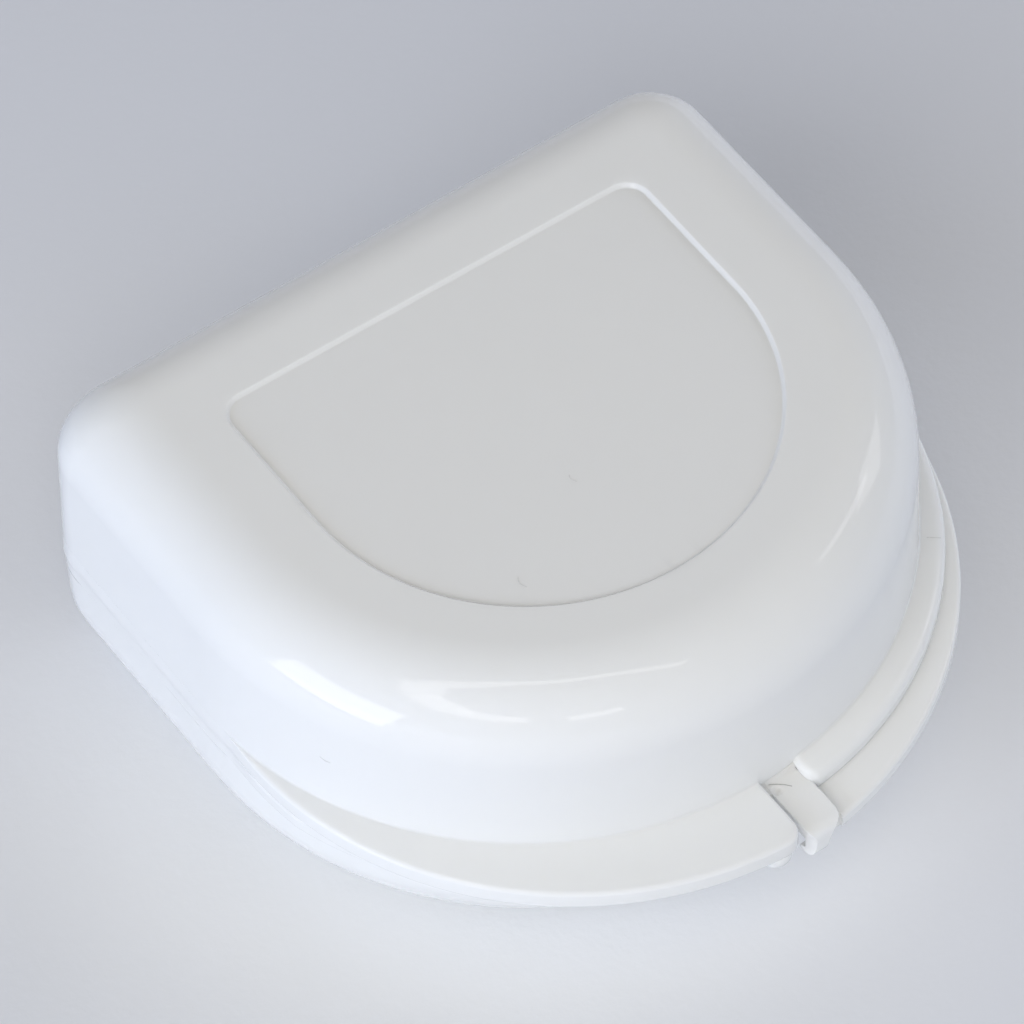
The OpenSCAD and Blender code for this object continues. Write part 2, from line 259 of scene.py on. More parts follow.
def closed_mesh(name, points, faces, join=0.0015):
    """A closed mesh from points in millimetres: doubles merged, faces outwards."""
    form = bmesh.new()
    corners = [form.verts.new(Vector(p) * MM) for p in points]
    for face in faces:
        form.faces.new([corners[i] for i in face])
    bmesh.ops.remove_doubles(form, verts=form.verts[:], dist=join * MM)
    bmesh.ops.dissolve_degenerate(form, edges=form.edges[:], dist=1e-7)
    bmesh.ops.recalc_face_normals(form, faces=form.faces[:])
    for edge in form.edges:
        edge.smooth = edge.calc_face_angle(0) < sharp_angle
    return mesh_of(name, form)


def lofted_mesh(name, rings):
    """A closed mesh through rings of the same number of points, capped at both ends."""
    count, n = len(rings), len(rings[0])
    faces = [(k * n + i, k * n + (i + 1) % n, (k + 1) * n + (i + 1) % n, (k + 1) * n + i)
             for k in range(count - 1) for i in range(n)]
    faces += [tuple(range(n - 1, -1, -1)), tuple(range((count - 1) * n, count * n))]
    return closed_mesh(name, np.concatenate(rings), faces)


def shelf_rings(outline, d, z):
    """A ring that lies outside the wall by d, which may differ from place to place."""
    return stacked(outline.wall + outline.out * np.asarray(d)[:, None], z)


def round_rings(outline, d, z, radius, outwards, upwards, steps, from_flat=False):
    """Rings of a quarter round from the upright face to the flat one, or back. Its
    corner, if it were sharp, would lie outside the wall by d, at height z."""
    rings = []
    for a in np.linspace(0, math.pi / 2, steps):
        aside, off = 1 - math.cos(a), 1 - math.sin(a)
        if from_flat:
            aside, off = off, aside
        rings.append(shelf_rings(outline, d + outwards * radius * aside,
                                 z + upwards * radius * off))
    return rings


def edge_radius(width, share, full, least=0.004):
    """The radius of a flange's edge: a share of its width, up to the full radius."""
    return np.clip(share * width, least, full)


def end_distance(outline, ends):
    """Distance from each place on a flange to that flange's free end."""
    x = outline.wall[:, 0]
    far_away = 99.0
    distance = np.full(len(x), far_away)
    for side, end in ends.items():
        on = np.zeros(len(x), bool)
        on[:outline.count] = outline.stretch == side
        distance[on] = np.abs(x[on] - end)
    return distance


def rounding(distance, radius):
    """How far a rounded corner of that radius falls back at a distance from its end."""
    u = np.clip(radius - distance, 0, radius)
    return radius - np.sqrt(radius ** 2 - u ** 2)


base_ends = {1: 1.0, -1: -4.2}
base_outline = Outline(base_ends[-1], base_ends[1], extra=[notch_right])
lip_round = 0.25


def smooth_max(a, b, blend=0.06):
    """The larger of two lengths, with no kink where they are the same."""
    return 0.5 * (a + b + np.hypot(a - b, blend))


def flange_reach(wide, narrow, end):
    """The reach of both flanges, with their free corners rounded off."""
    return np.maximum(wide - rounding(end, wide_corner) * (wide > 0),
                      narrow - rounding(end, narrow_corner) * (narrow > 0))


def base_mesh():
    """The tray from the middle of its bottom outwards, up the wall, round the flanges,
    over the lip and down inside to the middle of its floor."""
    o = base_outline
    wide = o.reach((-wide_circle[0], *wide_circle[1:]), 1)
    narrow = o.reach((-narrow_circle[0], *narrow_circle[1:]), -1)
    narrow = np.minimum(narrow, o.reach(lid_circle, -1))
    end = end_distance(o, base_ends)
    reach = flange_reach(wide, narrow, end)
    front = o.wall[:o.count]
    at_notch = (o.stretch == 1) & (front[:, 0] < notch_right)
    reach[:o.count][at_notch] = np.minimum(reach[:o.count][at_notch],
                                           front[:, 1][at_notch] - notch_front)
    lean = base_flange * math.tan(draft)
    seam_width, low_width = smooth_max(reach, 0.0), smooth_max(reach, -lean)
    soft = rounding(end, end_droop) * (reach > 0)
    under, top = base_top - base_flange + soft, base_top - soft
    hollow = edge_radius(low_width + lean, share=0.3, full=0.35)
    low_edge = edge_radius(low_width + lean, share=0.4, full=0.25)
    high_edge = edge_radius(seam_width, share=0.45, full=0.5, least=0.02)
    wall_foot = base_top - base_flange - wall_clear
    rings = [stacked(o.d_shape(*base_middle), 0)]
    wall = wall_rings(o, wall_foot, 0, edge_fillet - 0.01, (base_top - wall_foot)
                      * math.tan(draft), straight_rings=6, fillet_rings=26)[::-1]
    rings += between(rings[-1], wall[0], 5) + wall
    rings += round_rings(o, -lean, under, hollow, 1, -1, steps=6)
    rings += between(rings[-1], shelf_rings(o, low_width - low_edge, under), 3)
    rings += round_rings(o, low_width, under, low_edge, -1, 1, steps=5, from_flat=True)
    rings += round_rings(o, seam_width, top, high_edge, -1, -1, steps=7)
    rings += between(rings[-1], shelf_rings(o, np.full(len(reach), -lip_foot), base_top), 4)
    for inset, rise in ((0.15, 0), (0.04, 0.04), (0, 0.15)):
        rings.append(stacked(o.ring(lip_inset - inset), base_top + rise))
    over_lip = base_wall - lip_inset - 2 * lip_round
    for a in np.linspace(0, math.pi, 9):
        inset = lip_inset + lip_round * (1 - math.cos(a)) + over_lip * (a > 0.51 * math.pi)
        rings.append(stacked(o.ring(inset), lip_top - lip_round * (1 - math.sin(a))))
    rings += wall_rings(o, base_top, floor_thickness, edge_fillet - floor_thickness,
                        base_wall, straight_rings=7, fillet_rings=16)
    centre = stacked(o.d_shape(*base_middle), floor_thickness)
    return lofted_mesh("base_tray", rings + between(rings[-1], centre, 5) + [centre])


def shader_group(name, inputs, outputs):
    """An empty shader node group with named sockets, and its input and output nodes."""
    group = bpy.data.node_groups.new(name, "ShaderNodeTree")
    for title, value in inputs:
        socket = group.interface.new_socket(title, in_out="INPUT", socket_type="NodeSocketFloat")
        socket.default_value = value
    for title in outputs:
        group.interface.new_socket(title, in_out="OUTPUT", socket_type="NodeSocketFloat")
    return group, group.nodes.new("NodeGroupInput"), group.nodes.new("NodeGroupOutput")


def node(tree, kind, settings=None, **inputs):
    """A node with its settings, its inputs given by name as values or as sockets."""
    made = tree.nodes.new(kind)
    for key, value in (settings or {}).items():
        setattr(made, key, value)
    for key, value in inputs.items():
        title = key.replace("_", " ")
        socket = made.inputs[int(key[1:])] if key[1:].isdigit() else made.inputs[title]
        if isinstance(value, bpy.types.NodeSocket):
            tree.links.new(value, socket)
        else:
            socket.default_value = value
    return made


def maths(tree, operation, *values):
    """The result of one sum, on numbers and sockets."""
    return node(tree, "ShaderNodeMath", {"operation": operation},
                **{"i%d" % i: value for i, value in enumerate(values)}).outputs[0]


def scratch_group():
    """Hairline scratches: two sets of long thin streaks, and a mask of where they are."""
    faint, full = 0.74, 0.8
    group, given, result = shader_group(
        "hairline_scratches", [("Spacing", 300.0), ("Length", 14.0), ("Share", 0.02)], ["Mask"])
    place = node(group, "ShaderNodeTexCoord").outputs["Object"]
    sets = []
    for turn in (0.5, 2.1):
        turned = node(group, "ShaderNodeMapping", Vector=place, Rotation=(0.3, 0.2, turn))
        sizes = node(group, "ShaderNodeCombineXYZ", X=given.outputs["Length"],
                     Y=given.outputs["Spacing"], Z=given.outputs["Spacing"])
        stretched = node(group, "ShaderNodeVectorMath", {"operation": "MULTIPLY"},
                         i0=turned.outputs[0], i1=sizes.outputs[0])
        streaks = node(group, "ShaderNodeTexNoise", Vector=stretched.outputs[0], Scale=1.0,
                       Detail=2.0, Roughness=0.55)
        low = maths(group, "SUBTRACT", faint, given.outputs["Share"])
        sets.append(node(group, "ShaderNodeMapRange", {"interpolation_type": "SMOOTHSTEP"},
                         i0=streaks.outputs["Fac"], i1=low, i2=full).outputs[0])
    group.links.new(maths(group, "MAXIMUM", *sets), result.inputs["Mask"])
    return group


def mould_group():
    """The skin of a moulded part: a slow mottle, and a fine orange-peel height."""
    group, given, result = shader_group(
        "mould_skin", [("Mottle Size", 40.0), ("Peel Size", 900.0)], ["Mottle", "Peel"])
    place = node(group, "ShaderNodeTexCoord").outputs["Object"]
    for title, detail, roughness in (("Mottle", 3.0, 0.6), ("Peel", 2.0, 0.5)):
        noise = node(group, "ShaderNodeTexNoise", Vector=place, Detail=detail,
                     Roughness=roughness, Scale=given.outputs[title + " Size"])
        group.links.new(noise.outputs["Fac"], result.inputs[title])
    return group


scratches, mould_skin = scratch_group(), mould_group()


def new_material(name, **shader):
    """A material, its tree and its shader, with values on the shader's own sockets."""
    material = bpy.data.materials.new(name)
    material.use_nodes = True
    surface = material.node_tree.nodes["Principled BSDF"]
    for key, value in shader.items():
        surface.inputs[key.replace("_", " ")].default_value = value
    return material, material.node_tree, surface


def moulded_plastic(name, pale, deep, gloss, skin, wear, **shader):
    """Moulded plastic: colour between pale and deep, a peel of the mould and hairline wear."""
    material, tree, surface = new_material(name, **shader)
    skin_node = node(tree, "ShaderNodeGroup", {"node_tree": mould_skin},
                     Mottle_Size=skin["mottle"], Peel_Size=skin["peel"])
    wear_node = node(tree, "ShaderNodeGroup", {"node_tree": scratches},
                     Share=wear["share"], Spacing=wear["spacing"])
    colour = node(tree, "ShaderNodeMix", {"data_type": "RGBA"}, i0=skin_node.outputs["Mottle"],
                  i6=(*deep, 1), i7=(*pale, 1))
    tree.links.new(colour.outputs[2], surface.inputs["Base Color"])
    rough = node(tree, "ShaderNodeMapRange", i0=skin_node.outputs["Mottle"], i1=0.3, i2=0.7,
                 i3=gloss[0], i4=gloss[1])
    worn = maths(tree, "MULTIPLY", wear_node.outputs["Mask"], wear["dulling"])
    tree.links.new(maths(tree, "ADD", rough.outputs[0], worn), surface.inputs["Roughness"])
    grooves = maths(tree, "MULTIPLY", wear_node.outputs["Mask"], -wear["depth"])
    height = maths(tree, "ADD", skin_node.outputs["Peel"], grooves)
    bump = node(tree, "ShaderNodeBump", Height=height, Strength=skin["strength"],
                Distance=skin["depth"])
    tree.links.new(bump.outputs[0], surface.inputs["Normal"])
    return material


case_white = moulded_plastic(
    "white_polypropylene", pale=(0.86, 0.865, 0.86), deep=(0.84, 0.845, 0.84),
    gloss=(0.04, 0.06), skin={"mottle": 60.0, "peel": 700.0, "strength": 0.1, "depth": 2e-5},
    wear={"share": 0.02, "spacing": 500.0, "dulling": 0.12, "depth": 0.3},
    IOR=1.49, Subsurface_Weight=0.3, Subsurface_Scale=0.0015, Subsurface_Radius=(1.0, 1.0, 0.95))

base_tray = finished("base_tray", base_mesh(), "base", case_white)
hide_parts("base")

# ---------------------------------------------------------------- thumb tab
# A small rounded lug under the lid's wide flange, moulded on the base left of
# the latch: the thumb holds it while a finger lifts the hook.


def slab_mesh(name, outline, quads, stations, moved):
    """A cage for a small moulded bar: quads in the Y-Z plane, swept along X stations.
    moved, where it is given, turns each corner's place into another."""
    n = len(outline)
    points = [moved(x, y, z) if moved else (x, y, z) for x in stations for y, z in outline]
    edges = {}
    for quad in quads:
        for pair in zip(quad, quad[1:] + quad[:1]):
            edges.setdefault(frozenset(pair), []).append(pair)
    rim = [pairs[0] for pairs in edges.values() if len(pairs) == 1]
    faces = [(a + s * n, b + s * n, b + s * n + n, a + s * n + n)
             for s in range(len(stations) - 1) for a, b in rim]
    faces += [tuple(quad) for quad in quads]
    faces += [tuple(i + (len(stations) - 1) * n for i in quad)[::-1] for quad in quads]
    return closed_mesh(name, points, faces)


def small_bar(name, outline, quads, stations, body, moved=None):
    """A small moulded bar of the case, its edges rounded as a mould's cutter leaves them."""
    bar = finished(name, slab_mesh(name, outline, quads, stations, moved), body,
                   case_white, False)
    smooth = bar.modifiers.new("softened", "SUBSURF")
    smooth.levels = smooth.render_levels = 3
    return bar


def strip(outer, inner):
    """The outline and quads of a bent bar between an outer and an inner line."""
    n = len(outer)
    return list(outer) + list(inner), [[i, i + 1, n + i + 1, n + i] for i in range(n - 1)]


tab_left, tab_right, tab_front = -4.0, -1.2, -47.8
tab_low, tab_round, tab_nose_from = 13.35, 1.3, -46.5
tab_cage = strip(
    [(-38.9, base_top), (-42, base_top), (-45.8, base_top), (-47.35, base_top), (tab_front, 15.3)],
    [(-38.9, tab_low), (-42, tab_low), (-45.5, tab_low), (-46.75, tab_low), (-47.7, tab_low + 0.4)])


def tab_nose(x, y, z):
    """Rounds the front of the tab in plan."""
    edge = np.array(min(x - tab_left, tab_right - x))
    return x, y + (0.8 * rounding(edge, tab_round) if y < tab_nose_from else 0), z


thumb_tab = small_bar("thumb_tab", *tab_cage, [
    tab_left, tab_left + 0.25, tab_left + 0.8, (tab_left + tab_right) / 2, tab_right - 0.8,
    tab_right - 0.25, tab_right], "base", tab_nose)

# ---------------------------------------------------------------- hinge
# Two rods between ears stand behind the base, and two open clips of the lid snap
# over them from above. Both are moulded in one with their half.
hinge_y, hinge_z = 34.98, seam_height
rod_radius, bore_radius, knuckle_radius = 1.3, 1.38, 2.48
clip_length, ear_thickness, side_gap, hinge_offset = 9.0, 2.0, 0.3, 19.0
rod_in_ears = 1.0
wall_face, foot_face, foot_rise = rear_depth - 1.0, 29.8, 0.6
clip_face = rear_depth - 0.7
clip_mouth, clip_back = -23, 203


def hinge_arc(radius, start, stop, count):
    """Places on a circle round the hinge line, between two angles in degrees."""
    return [(hinge_y + radius * math.cos(a), hinge_z + radius * math.sin(a))
            for a in np.radians(np.linspace(start, stop, count))]


def prism_mesh(name, outline, length, edge):
    """A prism along X, centred on X = 0, with the edges of both end faces rounded."""
    form = bmesh.new()
    first = [form.verts.new(Vector((-length / 2, y, z)) * MM) for y, z in outline]
    last = [form.verts.new(Vector((length / 2, y, z)) * MM) for y, z in outline]
    n = len(outline)
    form.faces.new(first[::-1])
    form.faces.new(last)
    for i in range(n):
        form.faces.new((first[i], first[(i + 1) % n], last[(i + 1) % n], last[i]))
    bmesh.ops.recalc_face_normals(form, faces=form.faces[:])
    rims = [e for e in form.edges if abs(e.verts[0].co.x - e.verts[1].co.x) < 1e-9]
    bmesh.ops.bevel(form, geom=rims, offset=edge * MM, segments=3, affect="EDGES",
                    profile=0.5, clamp_overlap=True)
    return mesh_of(name, form)


def tree_with(name, inputs):
    """A geometry tree with named inputs, and its input and output nodes."""
    tree = bpy.data.node_groups.new(name, "GeometryNodeTree")
    tree.interface.new_socket("Geometry", in_out="INPUT", socket_type="NodeSocketGeometry")
    tree.interface.new_socket("Geometry", in_out="OUTPUT", socket_type="NodeSocketGeometry")
    for title, kind in inputs:
        tree.interface.new_socket(title, in_out="INPUT", socket_type="NodeSocket" + kind)
    return tree, tree.nodes.new("NodeGroupInput"), tree.nodes.new("NodeGroupOutput")


def piece_from(tree, name, carrier, values, body, material):
    """Runs a geometry tree on a carrier mesh and keeps the result as a plain piece. The
    tree gets a mesh or a curve among the values as an object."""
    holders = [linked(name + "_carrier", carrier)]
    run = holders[0].modifiers.new("build", "NODES")
    run.node_group = tree
    sockets = {s.name: s.identifier for s in tree.interface.items_tree if s.in_out == "INPUT"}
    for title, value in {**values, "Material": material}.items():
        if isinstance(value, (bpy.types.Mesh, bpy.types.Curve)):
            value = linked(name + "_sample", value)
            holders.append(value)
        run[sockets[title]] = value
    graph = bpy.context.evaluated_depsgraph_get()
    mesh = bpy.data.meshes.new_from_object(holders[0].evaluated_get(graph), depsgraph=graph)
    mesh.name = name
    for holder in holders:
        bpy.data.objects.remove(holder)
    return finished(name, mesh, body, material)


def put_out(tree, given, result, geometry):
    """Ends a tree: its copies made real, in the material that it is given."""
    real = node(tree, "GeometryNodeRealizeInstances", Geometry=geometry)
    dressed = node(tree, "GeometryNodeSetMaterial", Geometry=real.outputs[0],
                   Material=given.outputs["Material"])
    tree.links.new(dressed.outputs[0], result.inputs[0])
    return tree


def repeat_tree():
    """Repeats one knuckle at the carrier's points."""
    tree, given, result = tree_with("repeated_knuckles", [
        ("Knuckle", "Object"), ("Material", "Material")])
    knuckle = node(tree, "GeometryNodeObjectInfo", Object=given.outputs["Knuckle"])
    placed = node(tree, "GeometryNodeInstanceOnPoints", Points=given.outputs["Geometry"],
                  Instance=knuckle.outputs["Geometry"])
    return put_out(tree, given, result, placed.outputs[0])


def points_mesh(name, places, faces=()):
    """Points at places in millimetres, for a tree to work on, and faces between them."""
    mesh = bpy.data.meshes.new(name)
    mesh.from_pydata([Vector(p) * MM for p in places], [], faces)
    return mesh


def knuckles(name, mesh, places, body):
    """One knuckle mesh repeated along the hinge line, as one piece."""
    return piece_from(repeated_knuckles, name, points_mesh(name, places), {"Knuckle": mesh},
                      body, case_white)


repeated_knuckles = repeat_tree()
ear_foot = hinge_z - 2 * knuckle_radius * math.sqrt(0.5) - (hinge_y - foot_face) + foot_rise
ear_line = [(wall_face, ear_foot), *hinge_arc(knuckle_radius, -45, 178, 40),
            (wall_face, base_top - 0.05)]
ear_step = clip_length / 2 + side_gap + ear_thickness / 2
both_sides = [(-hinge_offset, 0, 0), (hinge_offset, 0, 0)]
knuckles("hinge_ears", prism_mesh("ear", ear_line, ear_thickness, 0.25),
         [(x + step, 0, 0) for x, _, _ in both_sides for step in (-ear_step, ear_step)], "base")
rod_line, rod_length = hinge_arc(rod_radius, 0, 350, 36), clip_length + 2 * side_gap + rod_in_ears
knuckles("hinge_rods", prism_mesh("rod", rod_line, rod_length, 0.1), both_sides, "base")

lid_flange = 2.2
rim_top = 15.45 + lid_flange
lip_middle, lip_half = (bore_radius + knuckle_radius) / 2, (knuckle_radius - bore_radius) / 2


def clip_lip(angle, way):
    """The rounded lip of an open clip, from its outer to its inner circle or back."""
    middle = np.array(hinge_arc(lip_middle, angle, angle, 1)[0])
    outwards = np.array([math.cos(math.radians(angle)), math.sin(math.radians(angle))])
    along = np.array([-outwards[1], outwards[0]]) * way
    return [tuple(middle + lip_half * (outwards * math.cos(b) + along * math.sin(b)))
            for b in np.linspace(0, math.pi, 9)[1:-1]]


clip_line = [(clip_face, rim_top), *hinge_arc(knuckle_radius, 115, clip_mouth, 30),
             *clip_lip(clip_mouth, -1), *hinge_arc(bore_radius, clip_mouth, clip_back, 36),
             *clip_lip(clip_back, 1)[::-1], *hinge_arc(knuckle_radius, clip_back, 179, 6),
             (clip_face, lid_bottom)]
knuckles("hinge_clips", prism_mesh("clip", clip_line, clip_length, 0.2), both_sides, "lid")

# ---------------------------------------------------------------- lid
# The upper half: a deep dome in the same white polypropylene, with a recessed
# panel on top, a rim all round, a wide flange on the left and a narrow one on the
# right. Their edges are soft, the narrow one's most of all.
lid_top, lid_wall = 38.4, 1.5
rim_bead = 0.05
lid_ends = {-1: -0.2, 1: 4.2}
lid_outline = Outline(lid_ends[-1], lid_ends[1])
panel_radius, panel_forward, panel_rear, panel_corner = 25.6, 0.6, 17.0, 2.6
panel_recess, panel_slope = 0.45, 0.55
middle_radius, middle_rear, middle_corner = 2, 1.2, 0.4
droop_right, soft_edge, firm_edge = 0.9, 1.1, 0.5


def lid_mesh():
    """The dome from the middle of its panel outwards, down the wall, round the flanges
    and up inside to the middle of its ceiling."""
    o = lid_outline
    end = end_distance(o, lid_ends)
    reach = flange_reach(o.reach(lid_circle, -1), o.reach(narrow_circle, 1), end)
    lean = (rim_top - lid_bottom) * math.tan(draft)
    seam_width, top_width = smooth_max(reach, rim_bead), smooth_max(reach, -lean)
    on_right = (o.sign > 0) & (o.zone != 3)
    on_right[:o.count] &= o.stretch == 1
    top = rim_top - rounding(end, np.where(on_right, droop_right, end_droop)) * (reach > 0)
    free = np.flatnonzero(o.stretch == 0)
    top[free] = np.linspace(top[free[0] - 1], top[free[-1] + 1], len(free))
    hollow = edge_radius(top_width + lean, share=0.4, full=0.25)
    top_edge = edge_radius(top_width + lean, share=0.5,
                           full=np.where(on_right, soft_edge, firm_edge))
    top_edge = np.minimum(top_edge, top - lid_bottom - 0.3)
    low_edge = edge_radius(seam_width, share=0.4, full=0.25, least=0.02)
    rings = [stacked(o.d_shape(middle_radius, panel_forward, middle_rear, middle_corner),
                     lid_top - panel_recess)]
    slope = []
    for s in np.linspace(0, 1, 9):
        drop = panel_recess * (0.5 + 0.5 * math.cos(math.pi * s))
        off = panel_slope * (s - 0.5)
        slope.append(stacked(o.d_shape(panel_radius + off, panel_forward, panel_rear + off,
                                       panel_corner + off), lid_top - drop))
    rings += between(rings[-1], slope[0], 7) + slope
    wall_foot = rim_top + wall_clear
    wall = wall_rings(o, wall_foot, lid_top, edge_fillet, (wall_foot - lid_bottom)
                      * math.tan(draft), straight_rings=9, fillet_rings=30)[::-1]
    rings += between(slope[-1], wall[0], 4) + wall[:-1]
    rings += round_rings(o, -lean, top, hollow, 1, 1, steps=7)
    rings += between(rings[-1], shelf_rings(o, top_width - top_edge, top), 4)
    rings += round_rings(o, top_width, top, top_edge, -1, -1, steps=9, from_flat=True)
    rings += round_rings(o, seam_width, lid_bottom, low_edge, -1, 1, steps=4)
    rings += between(rings[-1], shelf_rings(o, np.zeros(len(reach)), lid_bottom), 3)
    for inset, rise in ((0, 0), (lid_wall - 0.2, 0), (lid_wall - 0.06, 0.06)):
        rings.append(stacked(o.ring(inset), lid_bottom + rise))
    rings += wall_rings(o, lid_bottom + 0.2, lid_top - lid_wall, edge_fillet - lid_wall,
                        lid_wall, straight_rings=8, fillet_rings=18)
    ceiling = stacked(o.d_shape(middle_radius, 0, middle_rear, middle_corner),
                      lid_top - lid_wall)
    return lofted_mesh("lid_dome", rings + between(rings[-1], ceiling, 5) + [ceiling])


lid_dome = finished("lid_dome", lid_mesh(), "lid", case_white)
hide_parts("lid")

# ---------------------------------------------------------------- latch
# The tongue springs from the lid's rim and the narrow flange's end. Its hook
# bends down in front of the base flange and catches under it.
tongue_left, tongue_right = 0.4, 4.7
tongue_bottom, tongue_top = 15.45, 16.55
hook_inner, hook_outer, hook_low, hook_high = -46.84, -47.84, 12.85, 13.45
catch_end, hook_taper, hook_corners = -45.94, 1.6, (0.2, 0.3)
relief_x, relief_y, relief_radius, relief_depth = 1.05, -41.3, 0.65, 0.28
root = -39.2
root_fillet = [(root, 0.6), (-39.9, 0.5), (-40.03, 0.27), (-40.15, 0.13), (-40.3, 0.04), (-40.5, 0)]
relief_rows = [relief_y + relief_radius * s
               for s in (1.15, 0.9, 0.65, 0.4, 0.15, -0.15, -0.4, -0.65, -0.9, -1.2)]
straight = [*root_fillet, *((y, 0) for y in relief_rows), (-43.6, 0), (-45.4, 0)]
tongue_line, tongue_quads = strip(
    [(y, tongue_top + rise) for y, rise in straight]
    + [(-46.5, tongue_top), (-47.5, tongue_top - 0.2), (hook_outer, tongue_top - 1.1),
       (hook_outer, 14.6), (hook_outer, hook_high), (hook_outer + 0.12, hook_low + 0.05)],
    [(y, tongue_bottom) for y, _ in straight]
    + [(-46.4, tongue_bottom), (-46.75, tongue_bottom - 0.1), (hook_inner, tongue_bottom - 0.4),
       (hook_inner, 14.4), (hook_inner, hook_high), (hook_inner, hook_low)])
tongue_count = len(tongue_line)
tongue_line += [(catch_end, hook_high), (catch_end, hook_low + 0.1)]
tongue_quads += [[tongue_count - 2, tongue_count, tongue_count + 1, tongue_count - 1]]


def tongue_place(x, y, z):
    """Tapers the hook downwards, rounds it in plan and sinks the relief in the root."""
    share = (x - tongue_left) / (tongue_right - tongue_left)
    down = min(max((tongue_bottom - z) / (tongue_bottom - hook_low), 0), 1)
    width = tongue_right - tongue_left - hook_taper * down
    front = max(y - hook_outer, 0)
    cut_left, cut_right = (float(rounding(front, width * part)) for part in hook_corners)
    off = math.hypot(x - relief_x, y - relief_y) / relief_radius
    if z > tongue_top - 0.01 and off < 1:
        z -= relief_depth * (1 - off * off)
    return tongue_left + cut_left + share * (width - cut_left - cut_right), y, z


latch_tongue = small_bar("latch_tongue", tongue_line, tongue_quads, [
    tongue_left, 0.52, 0.68, 0.84, 1.0, 1.16, 1.32, 1.48, 1.7, 2.2, 3.1, tongue_right - 0.8,
    tongue_right - 0.22, tongue_right], "lid", tongue_place)
web_cage = strip(
    [(y, tongue_top + rise) for y, rise in root_fillet] + [(-41.1, tongue_top),
                                                           (-41.44, tongue_top - 0.1)],
    [(y, tongue_bottom) for y, _ in root_fillet] + [(-41.1, tongue_bottom),
                                                    (-41.44, tongue_bottom + 0.1)])
small_bar("slit_web", *web_cage, [-0.9, -0.6, -0.2, 0.1, 0.4, 0.5], "lid")

# ---------------------------------------------------------------- mouthguard
# A boil-and-bite gum shield in soft EVA: a firm blue shell round the outside and a
# pale lining in its bite channel. Both are swept along the same arch by one tree.
arch_middle, leg_end, guard_bottom = 22.5, 19.0, 1.8
half_width = 7.0
front_height, rear_height, inner_height = 19.0, 13.0, 11.0
notch_depth, notch_half = 2.2, 2.6
end_shrink, end_length = 0.8, 3.0


class Reading:
    """A value in a node tree that plain arithmetic can work on."""

    def __init__(self, tree, socket):
        self.tree, self.socket = tree, socket

    def work(self, operation, *others):
        return Reading(self.tree, maths(self.tree, operation, self.socket, *(
            other.socket if isinstance(other, Reading) else other for other in others)))

    def __add__(self, other):
        return self.work("ADD", other)

    def __sub__(self, other):
        return self.work("SUBTRACT", other)

    def __mul__(self, other):
        return self.work("MULTIPLY", other)

    def __truediv__(self, other):
        return self.work("DIVIDE", other)

    def taken_from(self, number):
        return Reading(self.tree, maths(self.tree, "SUBTRACT", number, self.socket))

    def at_least(self, number):
        return self.work("MAXIMUM", number)

    def at_most(self, number):
        return self.work("MINIMUM", number)


def rounded_outline(corners, steps=6):
    """A closed outline from corners (across, height, radius), each turned into an arc."""
    points = []
    for i, (x, y, radius) in enumerate(corners):
        here = Vector((x, y))
        before = (Vector(corners[i - 1][:2]) - here).normalized()
        after = (Vector(corners[(i + 1) % len(corners)][:2]) - here).normalized()
        half = before.angle(after) / 2
        centre = here + (before + after).normalized() * radius / math.sin(half)
        start = here + before * radius / math.tan(half) - centre
        stop = here + after * radius / math.tan(half) - centre
        turn = start.angle_signed(stop)
        for k in range(steps + 1):
            arm = start.copy()
            arm.rotate(Matrix.Rotation(-turn * k / steps, 2))
            points.append(tuple(centre + arm))
    return points


def section_curve(name, corners):
    """The section of a swept piece, as a closed curve in metres, height downwards."""
    outline = rounded_outline(corners)
    data = bpy.data.curves.new(name, "CURVE")
    data.dimensions = "3D"
    spline = data.splines.new("POLY")
    spline.points.add(len(outline) - 1)
    for point, (across_arch, height) in zip(spline.points, outline):
        point.co = (across_arch * MM, -height * MM, 0, 1)
    spline.use_cyclic_u = True
    return data


def arch_path(tree, given, count=180):
    """The arch as a curve, a leg, half a circle round the front and the other leg, and
    each place's distance along it from the nearer end."""
    middle, leg = (Reading(tree, given.outputs[size]) for size in ("Middle Radius", "Leg End"))
    bend = middle * math.pi
    total = bend + leg * 2.0
    line = node(tree, "GeometryNodeCurvePrimitiveLine", Start=(0, 0, 0), End=(1, 0, 0))
    many = node(tree, "GeometryNodeResampleCurve", Curve=line.outputs[0], Count=count)
    run = Reading(tree, node(tree, "GeometryNodeSplineParameter").outputs["Factor"]) * total
    arc = ((run - leg) / middle).at_least(0.0).at_most(math.pi)
    first, last = (leg - run).at_least(0.0), (run - (leg + bend)).at_least(0.0)
    x = arc.work("COSINE") * middle * -1.0
    y = first + last - arc.work("SINE") * middle
    place = node(tree, "ShaderNodeCombineXYZ", X=x.socket, Y=y.socket, Z=given.outputs["Bottom"])
    bent = node(tree, "GeometryNodeSetPosition", Geometry=many.outputs[0],
                Position=place.outputs[0])
    upright_curve = node(tree, "GeometryNodeSetCurveNormal", {"mode": "Z_UP"},
                         Curve=bent.outputs[0])
    return upright_curve.outputs[0], run.work("MINIMUM", total - run)


arch_sizes = [("Middle Radius", "Float"), ("Leg End", "Float"), ("Bottom", "Float")]


